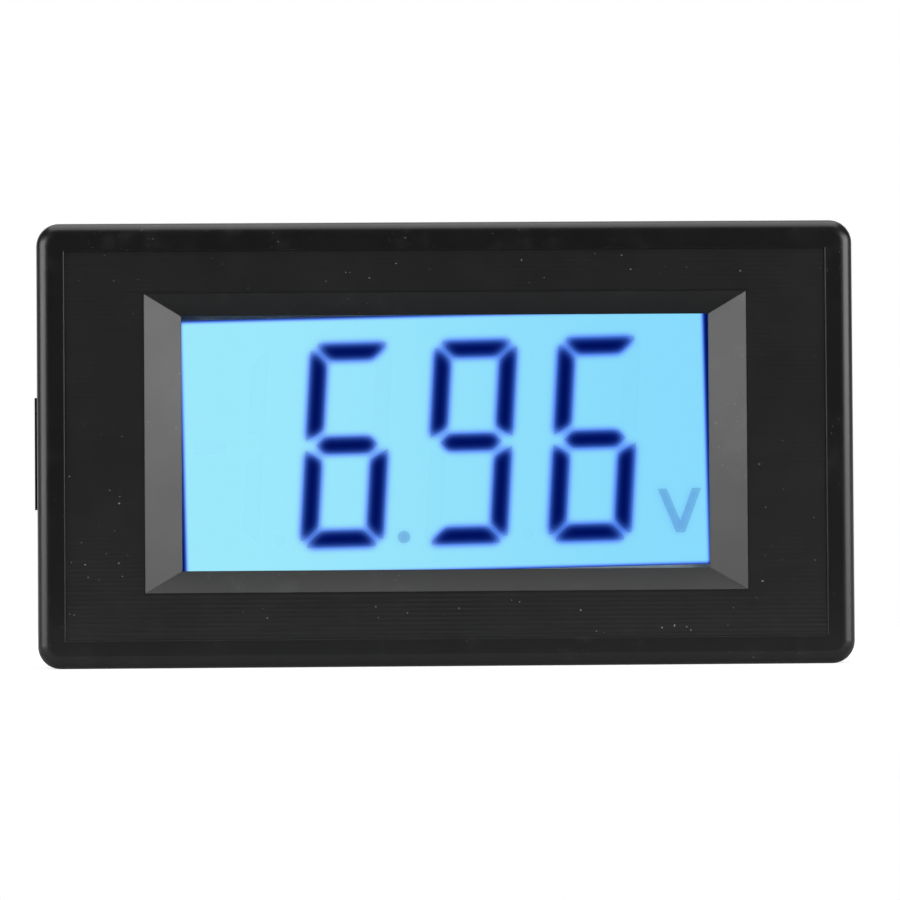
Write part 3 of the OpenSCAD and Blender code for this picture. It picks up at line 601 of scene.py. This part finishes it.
def segment_cover(node, across, up, centre, turn):
    """1 where the front of one of a node's segments covers a grid point and 0 elsewhere.

    Each triangle of the segments' front faces covers the points that lie on the inner side of all three
    of its edges.
    """
    mesh = frame["nodes"][node].data
    mesh.calc_loop_triangles()
    corners = np.empty(len(mesh.loop_triangles) * 3, np.int32)
    mesh.loop_triangles.foreach_get("vertices", corners)
    points = node_points(node)
    triangles = points[corners.reshape(-1, 3)]
    front = points[:, 1].min()
    triangles = triangles[(np.abs(triangles[:, :, 1] - front) < 0.01 * MM).all(1)][:, :, [0, 2]]
    flat = to_display(triangles.reshape(-1, 2), centre, turn).reshape(-1, 3, 2)
    u, v = np.meshgrid(across, up)
    cover = np.zeros_like(u, bool)
    for a, b, c in flat:
        edges = ((a, b), (b, c), (c, a))
        side = np.stack([(q[0] - p[0]) * (v - p[1]) - (q[1] - p[1]) * (u - p[0]) for p, q in edges])
        cover |= (side >= 0).all(0) | (side <= 0).all(0)
    return cover.astype(float)


def blurred(image, width):
    """The image spread by a bell curve, exp(-(d / width)^2 / 2) in grid steps, along both of its axes."""
    reach = int(math.ceil(3 * width))
    bell = np.exp(-0.5 * (np.arange(-reach, reach + 1) / width) ** 2)
    bell /= bell.sum()
    for axis in (0, 1):
        padded = np.pad(image, [(reach, reach) if k == axis else (0, 0) for k in (0, 1)], mode="edge")
        size = image.shape[axis]
        image = sum(w * np.take(padded, range(i, i + size), axis) for i, w in enumerate(bell))
    return image


def film_finish(looks, centre, turn, half):
    """The lit film: light that pales towards its lamps and dims through blue to navy in a shadow."""
    finish = Finish("rear_film", (0, 0, 0), 0.6, Specular_IOR_Level=0.0, Emission_Strength=1.0)
    x, _, z = finish.axes()
    along = (x - float(centre[0])) * math.cos(turn) + (z - float(centre[1])) * math.sin(turn)
    share = along.between(-float(half[0]), float(half[0]))
    light = finish.mix(share, tuple(looks.light_left), tuple(looks.light_right))
    shade = finish.node("ShaderNodeAttribute", {"attribute_name": "shade"}, output="Fac")
    stops = [
        (0.0, (1, 1, 1)),
        (0.07, (0.88, 0.86, 1.0)),
        (0.2, (0.6, 0.55, 1.0)),
        (0.38, (0.3, 0.3, 0.86)),
        (0.6, (0.085, 0.1, 0.4)),
        (0.8, (0.017, 0.027, 0.2)),
        (0.95, (0.001, 0.0068, 0.112)),
    ]
    dim = finish.node("ShaderNodeValToRGB", {"stops": stops}, (shade,))
    finish.set("Emission Color", finish.mix(1.0, light, dim, "MULTIPLY"))
    return finish


def film_shade(across, up, fine, sizes, looks, centre, turn, half):
    """How dark each point of the lit film is, 0 to 1: the segments' soft shadows and the unlit border."""
    spread = sizes.shadow_blur / fine
    driven = blurred(segment_cover("segments_on", across, up, centre, turn), spread)
    faint = blurred(segment_cover("segments_dim", across, up, centre, turn), 0.7 * spread)
    shadow = np.minimum(driven**sizes.shadow_waist + looks.faint_share * faint, 1)
    u, v = np.meshgrid(across, up)
    lit = ((np.abs(u) < half[0]) & (np.abs(v) < half[1])).astype(float)
    return 1 - (1 - shadow) * blurred(lit, 0.16 * MM / fine)


class METER_OT_film(bpy.types.Operator):
    """Lays the lit film behind the segments"""

    bl_idname = "meter.film"
    bl_label = "Lit film"

    def execute(self, context):
        sizes = context.scene.meter_sizes
        looks = context.scene.meter_finish
        centre, turn, half = display_frame()
        film = to_display(node_points("lcd_rear_polarizer")[:, [0, 2]], centre, turn)
        low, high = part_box("lcd_rear_polarizer")
        start, end = film.min(0), film.max(0)
        columns, rows = np.ceil((end - start) / sizes.film_grid).astype(int)
        across = np.linspace(start[0], end[0], SHADE_STEPS * columns + 1)
        up = np.linspace(start[1], end[1], SHADE_STEPS * rows + 1)
        shade = film_shade(across, up, sizes.film_grid / SHADE_STEPS, sizes, looks, centre, turn, half)
        shade = shade[::SHADE_STEPS, ::SHADE_STEPS]
        front = np.full_like(shade, low.y)
        keep = np.ones((rows, columns), bool)
        points, faces, used = closed_sheet(across[::SHADE_STEPS], up[::SHADE_STEPS], front, high.y, keep)
        finish = film_finish(looks, centre, turn, half)
        points = from_display(points, centre, turn)
        piece = add_piece("lit_film", points, faces, "case", finish)
        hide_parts("lcd_rear_polarizer")
        attribute = piece.data.attributes.new("shade", "FLOAT", "POINT")
        attribute.data.foreach_set("value", np.tile(shade.ravel(), 2)[used].astype(np.float32))
        return {"FINISHED"}


class METER_OT_display(bpy.types.Operator):
    """Finishes the segments, the glass and the layers of the backlight"""

    bl_idname = "meter.display"
    bl_label = "Display"

    def execute(self, context):
        looks = context.scene.meter_finish
        dress("segment_ink", segment_finish("segment_ink", tuple(looks.ink), 0.12))
        dress("segment_faint", segment_finish("segment_faint", tone(52, 118, 168), 0.17))
        dress("segment_clear", segment_finish("segment_clear", tone(120, 190, 240), 0.02))
        dress("front_film", clear_sheet("front_film", (0.02, 0.03, 0.04), 0.22))
        dress("display_glass", clear_sheet("display_glass", (0.02, 0.03, 0.03), 0.05))
        dress("cell_seal", moulded_plastic("cell_seal", tone(150, 170, 182), 0.5))
        dress("diffuser_white", moulded_plastic("diffuser_white", tone(205, 228, 236), 0.7))
        dress("light_guide_acrylic", moulded_plastic("light_guide_acrylic", tone(190, 222, 232), 0.15))
        dress("reflector_white", moulded_plastic("reflector_white", tone(238, 240, 240), 0.5))
        dress("led_body", moulded_plastic("led_body", tone(236, 232, 205), 0.3))
        dress("carrier_white", moulded_plastic("carrier_white", tone(226, 227, 224), 0.45))
        dress("contact_silicone", moulded_plastic("contact_silicone", tone(214, 158, 164), 0.7))
        return {"FINISHED"}


def segment_finish(name, colour, shown):
    """The liquid crystal's image, thin where it is seen square on and denser at a slant."""
    finish = Finish(name, (0, 0, 0), 0.6, Specular_IOR_Level=0.0, Emission_Strength=1.0)
    patch = finish.noise(0.8 * MM)
    finish.set("Alpha", (4 * shown * finish.slant().between(0.04, 0.2) + shown).math("MINIMUM", 0.85))
    finish.set("Emission Color", finish.mix(patch * 0.15, colour, (0, 0, 0)))
    return finish


# ------------------------------------------------------------------------------- board and terminals


class METER_OT_board(bpy.types.Operator):
    """Finishes the circuit board and the parts on it"""

    bl_idname = "meter.board"
    bl_label = "Circuit board"

    def execute(self, context):
        dress("board_green", board_finish())
        dress("screw_steel", sheet_metal("screw_steel", tone(190, 190, 186), 0.32))
        dress("chip_black", moulded_plastic("chip_black", tone(30, 30, 31), 0.55, depth=0.01 * MM))
        dress("tinned_lead", sheet_metal("tinned_lead", tone(196, 198, 200), 0.3))
        dress("regulator_black", moulded_plastic("regulator_black", tone(33, 33, 34), 0.5))
        dress("capacitor_sleeve", can_finish())
        dress("film_capacitor_coat", moulded_plastic("film_capacitor_coat", tone(172, 62, 30), 0.3))
        bands = [
            (-2.2 * MM, tone(110, 62, 30)),
            (-1.1 * MM, tone(20, 20, 20)),
            (0, tone(226, 118, 30)),
            (2.1 * MM, tone(196, 160, 70)),
        ]
        dress("resistor_coat", banded_finish("resistor_coat", "resistors", tone(108, 170, 190), bands))
        bands = [(1.9 * MM, tone(206, 206, 200))]
        dress("diode_black", banded_finish("diode_black", "protection_diode", tone(28, 28, 28), bands))
        dress("trimmer_blue", moulded_plastic("trimmer_blue", tone(32, 80, 168), 0.4))
        dress("rotor_brass", sheet_metal("rotor_brass", tone(214, 178, 98), 0.3, along=(12, 1, 1)))
        return {"FINISHED"}


def board_finish():
    """Green solder mask whose buried tracks run across in some patches and upwards in the others."""
    finish = Finish("board_green", (0, 0, 0), 0.3, Specular_IOR_Level=0.5)
    x, _, z = finish.axes()
    pitch = 1.27 * MM
    patch = finish.noise(7 * MM, 1.0).between(0.48, 0.5)
    shares = [(axis / pitch).math("FRACT") for axis in (x, z)]
    upward, across = [share.between(0.25, 0.32) * share.between(0.75, 0.68) for share in shares]
    track = upward * patch + across * (1 - patch)
    weave = finish.noise(0.5 * MM)
    green = finish.mix(weave.between(0.3, 0.7), tone(18, 76, 40), tone(24, 88, 48))
    finish.set("Base Color", finish.mix(track * 0.8, green, tone(52, 132, 74)))
    finish.relief(track + 0.1 * weave, 0.02 * MM, 0.05 * MM)
    return finish


def banded_finish(name, node, colour, bands):
    """Lacquer with colour bands at the given places along a lying part, and tinned leads at its ends."""
    finish = Finish(name, colour, 0.35, Specular_IOR_Level=0.5)
    low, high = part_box(node)
    lead_length = 1.9 * MM
    half_band = 0.37 * MM
    blur = 0.03 * MM
    along = finish.axes()[0] - (low.x + high.x) / 2
    coat = finish.mottle(colour, 1.5 * MM, 0.1)
    for place, band in bands:
        off = (along - place).math("ABSOLUTE")
        coat = finish.mix(off.between(half_band + blur, half_band - blur), coat, band)
    body = (high.x - low.x) / 2 - lead_length
    lead = along.math("ABSOLUTE").between(body, body + 0.05 * MM)
    finish.set("Base Color", finish.mix(lead, coat, tone(196, 198, 200)))
    finish.set("Metallic", lead)
    finish.relief(finish.noise(0.3 * MM), 0.006 * MM, 0.1 * MM)
    return finish


def can_finish():
    """Capacitor cans: a dark sleeve with one pale stripe down its side, and a bare aluminium top."""
    finish = Finish("capacitor_sleeve", (0, 0, 0), 0.28, Specular_IOR_Level=0.5)
    low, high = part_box("electrolytic_capacitors")
    sleeve_end = high.y - 0.3 * MM
    stripe_end = low.x + 0.75 * MM
    x, y, _ = finish.axes()
    top = y.between(sleeve_end, sleeve_end + 0.06 * MM)
    stripe = x.between(stripe_end, stripe_end - 0.05 * MM)
    sleeve = finish.mix(stripe, finish.mottle(tone(28, 34, 66), 2 * MM, 0.12), tone(168, 172, 180))
    finish.set("Base Color", finish.mix(top, sleeve, tone(206, 207, 208)))
    finish.set("Metallic", top)
    finish.relief(finish.noise(0.4 * MM), 0.004 * MM, 0.12 * MM)
    return finish


class METER_OT_terminals(bpy.types.Operator):
    """Finishes the terminal block, its contacts, clamp cages and screws"""

    bl_idname = "meter.terminals"
    bl_label = "Terminals"

    def execute(self, context):
        dress("terminal_green", terminal_finish())
        dress("contact_tin", sheet_metal("contact_tin", tone(200, 202, 204), 0.28))
        dress("cage_nickel", sheet_metal("cage_nickel", tone(206, 196, 168), 0.3))
        dress("terminal_screw_steel", sheet_metal("terminal_screw_steel", tone(196, 197, 194), 0.3))
        return {"FINISHED"}


def terminal_finish():
    """Green nylon with a fine groove moulded between one way and the next, and painted shade that darkens
    the groove.
    """
    colour = tone(26, 112, 64)
    ways = 4
    end_wall = 0.2 * MM
    finish = Finish("terminal_green", colour, 0.34, Specular_IOR_Level=0.5)
    low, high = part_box("terminal_block")
    pitch = (high.x - low.x - 2 * end_wall) / ways
    share = ((finish.axes()[0] - low.x - end_wall) / pitch).math("FRACT")
    groove = (share - 0.5).math("ABSOLUTE").between(0.475, 0.49)
    # The groove's colour is mixed towards black: painted shade in the groove, on top of its real dent in
    # the relief below.
    finish.set("Base Color", finish.mix(groove * 0.6, finish.mottle(colour, 2 * MM, 0.12), (0, 0, 0)))
    finish.set("Roughness", 0.3 + 0.1 * finish.noise(3 * MM))
    finish.relief(0.05 * finish.noise(0.2 * MM) - groove, 0.08 * MM, 0.15 * MM)
    return finish


# ------------------------------------------------------------------------------------------ studio


def light_panel(name, place, size, radiance):
    """A soft rectangular light of the given brightness that faces the part's middle."""
    lamp = bpy.data.lights.new(name, "AREA")
    lamp.shape = "RECTANGLE"
    lamp.size, lamp.size_y = size
    lamp.energy = radiance * math.pi * size[0] * size[1]
    holder = bpy.data.objects.new(name, lamp)
    bpy.context.scene.collection.objects.link(holder)
    holder.location = place
    holder.rotation_euler = (Vector(place) * -1).to_track_quat("-Z", "Y").to_euler()
    holder.visible_camera = False


def seen_rays(shader):
    """Three values, each 1 for its own rays: from the camera, off gloss and through glass."""
    rays = ("Is Camera Ray", "Is Glossy Ray", "Is Transmission Ray")
    return [shader.node("ShaderNodeLightPath", output=name) for name in rays]


def room_light(fill, front):
    """The room: white to the camera and to glass, and to gloss white behind the part and dim before it."""
    world = bpy.data.worlds.new("room")
    world.use_nodes = True
    bpy.context.scene.world = world
    room = Shader(world.node_tree)
    camera, gloss, through = seen_rays(room)
    direction = room.node("ShaderNodeTexCoord", output="Generated")
    depth = room.node("ShaderNodeSeparateXYZ", {}, (direction,), output=1)
    mirrored = front + (1 - front) * depth.between(0.55, 0.9)
    seen = camera.math("MAXIMUM", through)
    level = fill * (1 - gloss) + mirrored * gloss
    background = world.node_tree.nodes["Background"]
    background.inputs["Color"].default_value = (1, 1, 1, 1)
    room.feed(background.inputs["Strength"], level * (1 - seen) + seen)


def add_floor(height):
    """A pale floor. Near the part it keeps the shadow, and further off it fades into the white room.

    Ahead of the part it throws little light back, and gloss finds its glow only behind the part.
    """
    reach = 3.0
    ends = ((-reach, -reach), (reach, -reach), (reach, reach), (-reach, reach))
    corners = [(x, y, height) for x, y in ends]
    mesh = bpy.data.meshes.new("floor")
    mesh.from_pydata(corners, [], [(0, 1, 2, 3)])
    floor = bpy.data.objects.new("floor", mesh)
    bpy.context.scene.collection.objects.link(floor)
    finish = Finish("floor_white", (0, 0, 0), 0.9, Specular_IOR_Level=0.0, Emission_Strength=1.0)
    camera, gloss, through = seen_rays(finish)
    x, y, _ = finish.axes()
    far = (x * x + y * y) ** 0.5
    ahead = y.between(-0.01, -0.06)
    plain = camera.math("MAXIMUM", through)
    behind = gloss * (1 - ahead)
    glow = (0.7 + 0.3 * ahead) * plain + 0.12 * behind
    finish.set("Base Color", finish.mix(ahead, (0.5, 0.5, 0.5), (0.1, 0.1, 0.1)))
    finish.set("Emission Color", finish.mix(glow, (0, 0, 0), (1, 1, 1)))
    white = finish.node("ShaderNodeEmission", {}, {"Color": (1, 1, 1), "Strength": 1.0})
    share = far.between(0.07, 0.2) * behind.math("MAXIMUM", plain)
    surface = Value(finish, finish.surface.outputs["BSDF"])
    both = finish.node("ShaderNodeMixShader", {}, {0: share, 1: surface, 2: white})
    finish.tree.links.new(both.socket, finish.tree.nodes["Material Output"].inputs["Surface"])
    mesh.materials.append(finish.material)


def add_camera(studio):
    """A camera before the part, a little to its left and below, that looks at the front frame's middle."""
    camera = bpy.data.cameras.new("camera")
    camera.sensor_width = 36
    camera.lens = camera.sensor_width * studio.distance / studio.view_width
    camera.clip_start, camera.clip_end = 0.01, 20
    holder = bpy.data.objects.new("camera", camera)
    holder.location = Vector((-10 * MM, CAD_LOW.y - studio.distance, -9 * MM))
    aim = Vector((0.34 * MM, CAD_LOW.y, -0.62 * MM))
    facing = (aim - holder.location).to_track_quat("-Z", "Y").to_matrix().to_4x4()
    holder.rotation_euler = (facing @ Matrix.Rotation(studio.roll, 4, "Z")).to_euler()
    return holder


class METER_OT_studio(bpy.types.Operator):
    """Sets up the floor, the soft lights, the room and the camera"""

    bl_idname = "meter.studio"
    bl_label = "Studio"

    def execute(self, context):
        studio = context.scene.meter_studio
        scene = context.scene
        scene.view_settings.view_transform = "Standard"
        add_floor(CAD_LOW.z)
        away = 0.5
        aside, ahead = away * math.sin(studio.side_angle), away * math.cos(studio.side_angle)
        for name, x, level in (("panel_left", -aside, 0.94), ("panel_right", aside, 1.06)):
            light_panel(name, (x, -ahead, 0.05), (0.44, 0.3), studio.side_light * level)
        light_panel("panel_top", (0, 0.02, away), (0.6, 0.6), studio.top_light)
        room_light(studio.fill, studio.front)
        camera = add_camera(studio)
        scene.collection.objects.link(camera)
        scene.camera = camera
        return {"FINISHED"}


# --------------------------------------------------------------------------------- panel and start


class METER_PT_panel(bpy.types.Panel):
    """Lists the steps that dress the meter"""

    bl_idname = "METER_PT_panel"
    bl_label = "Digital panel meter"
    bl_space_type = "VIEW_3D"
    bl_region_type = "UI"
    bl_category = "Meter"

    def draw(self, context):
        for step in STEPS:
            self.layout.operator(step.bl_idname)
        for group in SETTINGS:
            settings = getattr(context.scene, group)
            for name in settings.__annotations__:
                self.layout.prop(settings, name)


STEPS = (
    METER_OT_case,
    METER_OT_field,
    METER_OT_dust,
    METER_OT_film,
    METER_OT_display,
    METER_OT_board,
    METER_OT_terminals,
    METER_OT_studio,
)
SETTINGS = {"meter_finish": MeterFinish, "meter_sizes": MeterSizes, "meter_studio": MeterStudio}
CLASSES = (*SETTINGS.values(), *STEPS, METER_PT_panel)


def register():
    """Makes the classes and the scene's settings known to Blender."""
    for cls in CLASSES:
        bpy.utils.register_class(cls)
    for name, cls in SETTINGS.items():
        setattr(bpy.types.Scene, name, bpy.props.PointerProperty(type=cls))


def unregister():
    """Takes the settings and the classes out again."""
    for name in SETTINGS:
        delattr(bpy.types.Scene, name)
    for cls in reversed(CLASSES):
        bpy.utils.unregister_class(cls)


def main():
    """Registers the add-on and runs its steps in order."""
    register()
    bpy.ops.meter.case()
    bpy.ops.meter.field()
    bpy.ops.meter.dust()
    bpy.ops.meter.film()
    bpy.ops.meter.display()
    bpy.ops.meter.board()
    bpy.ops.meter.terminals()
    bpy.ops.meter.studio()


if __name__ == "__main__":
    main()
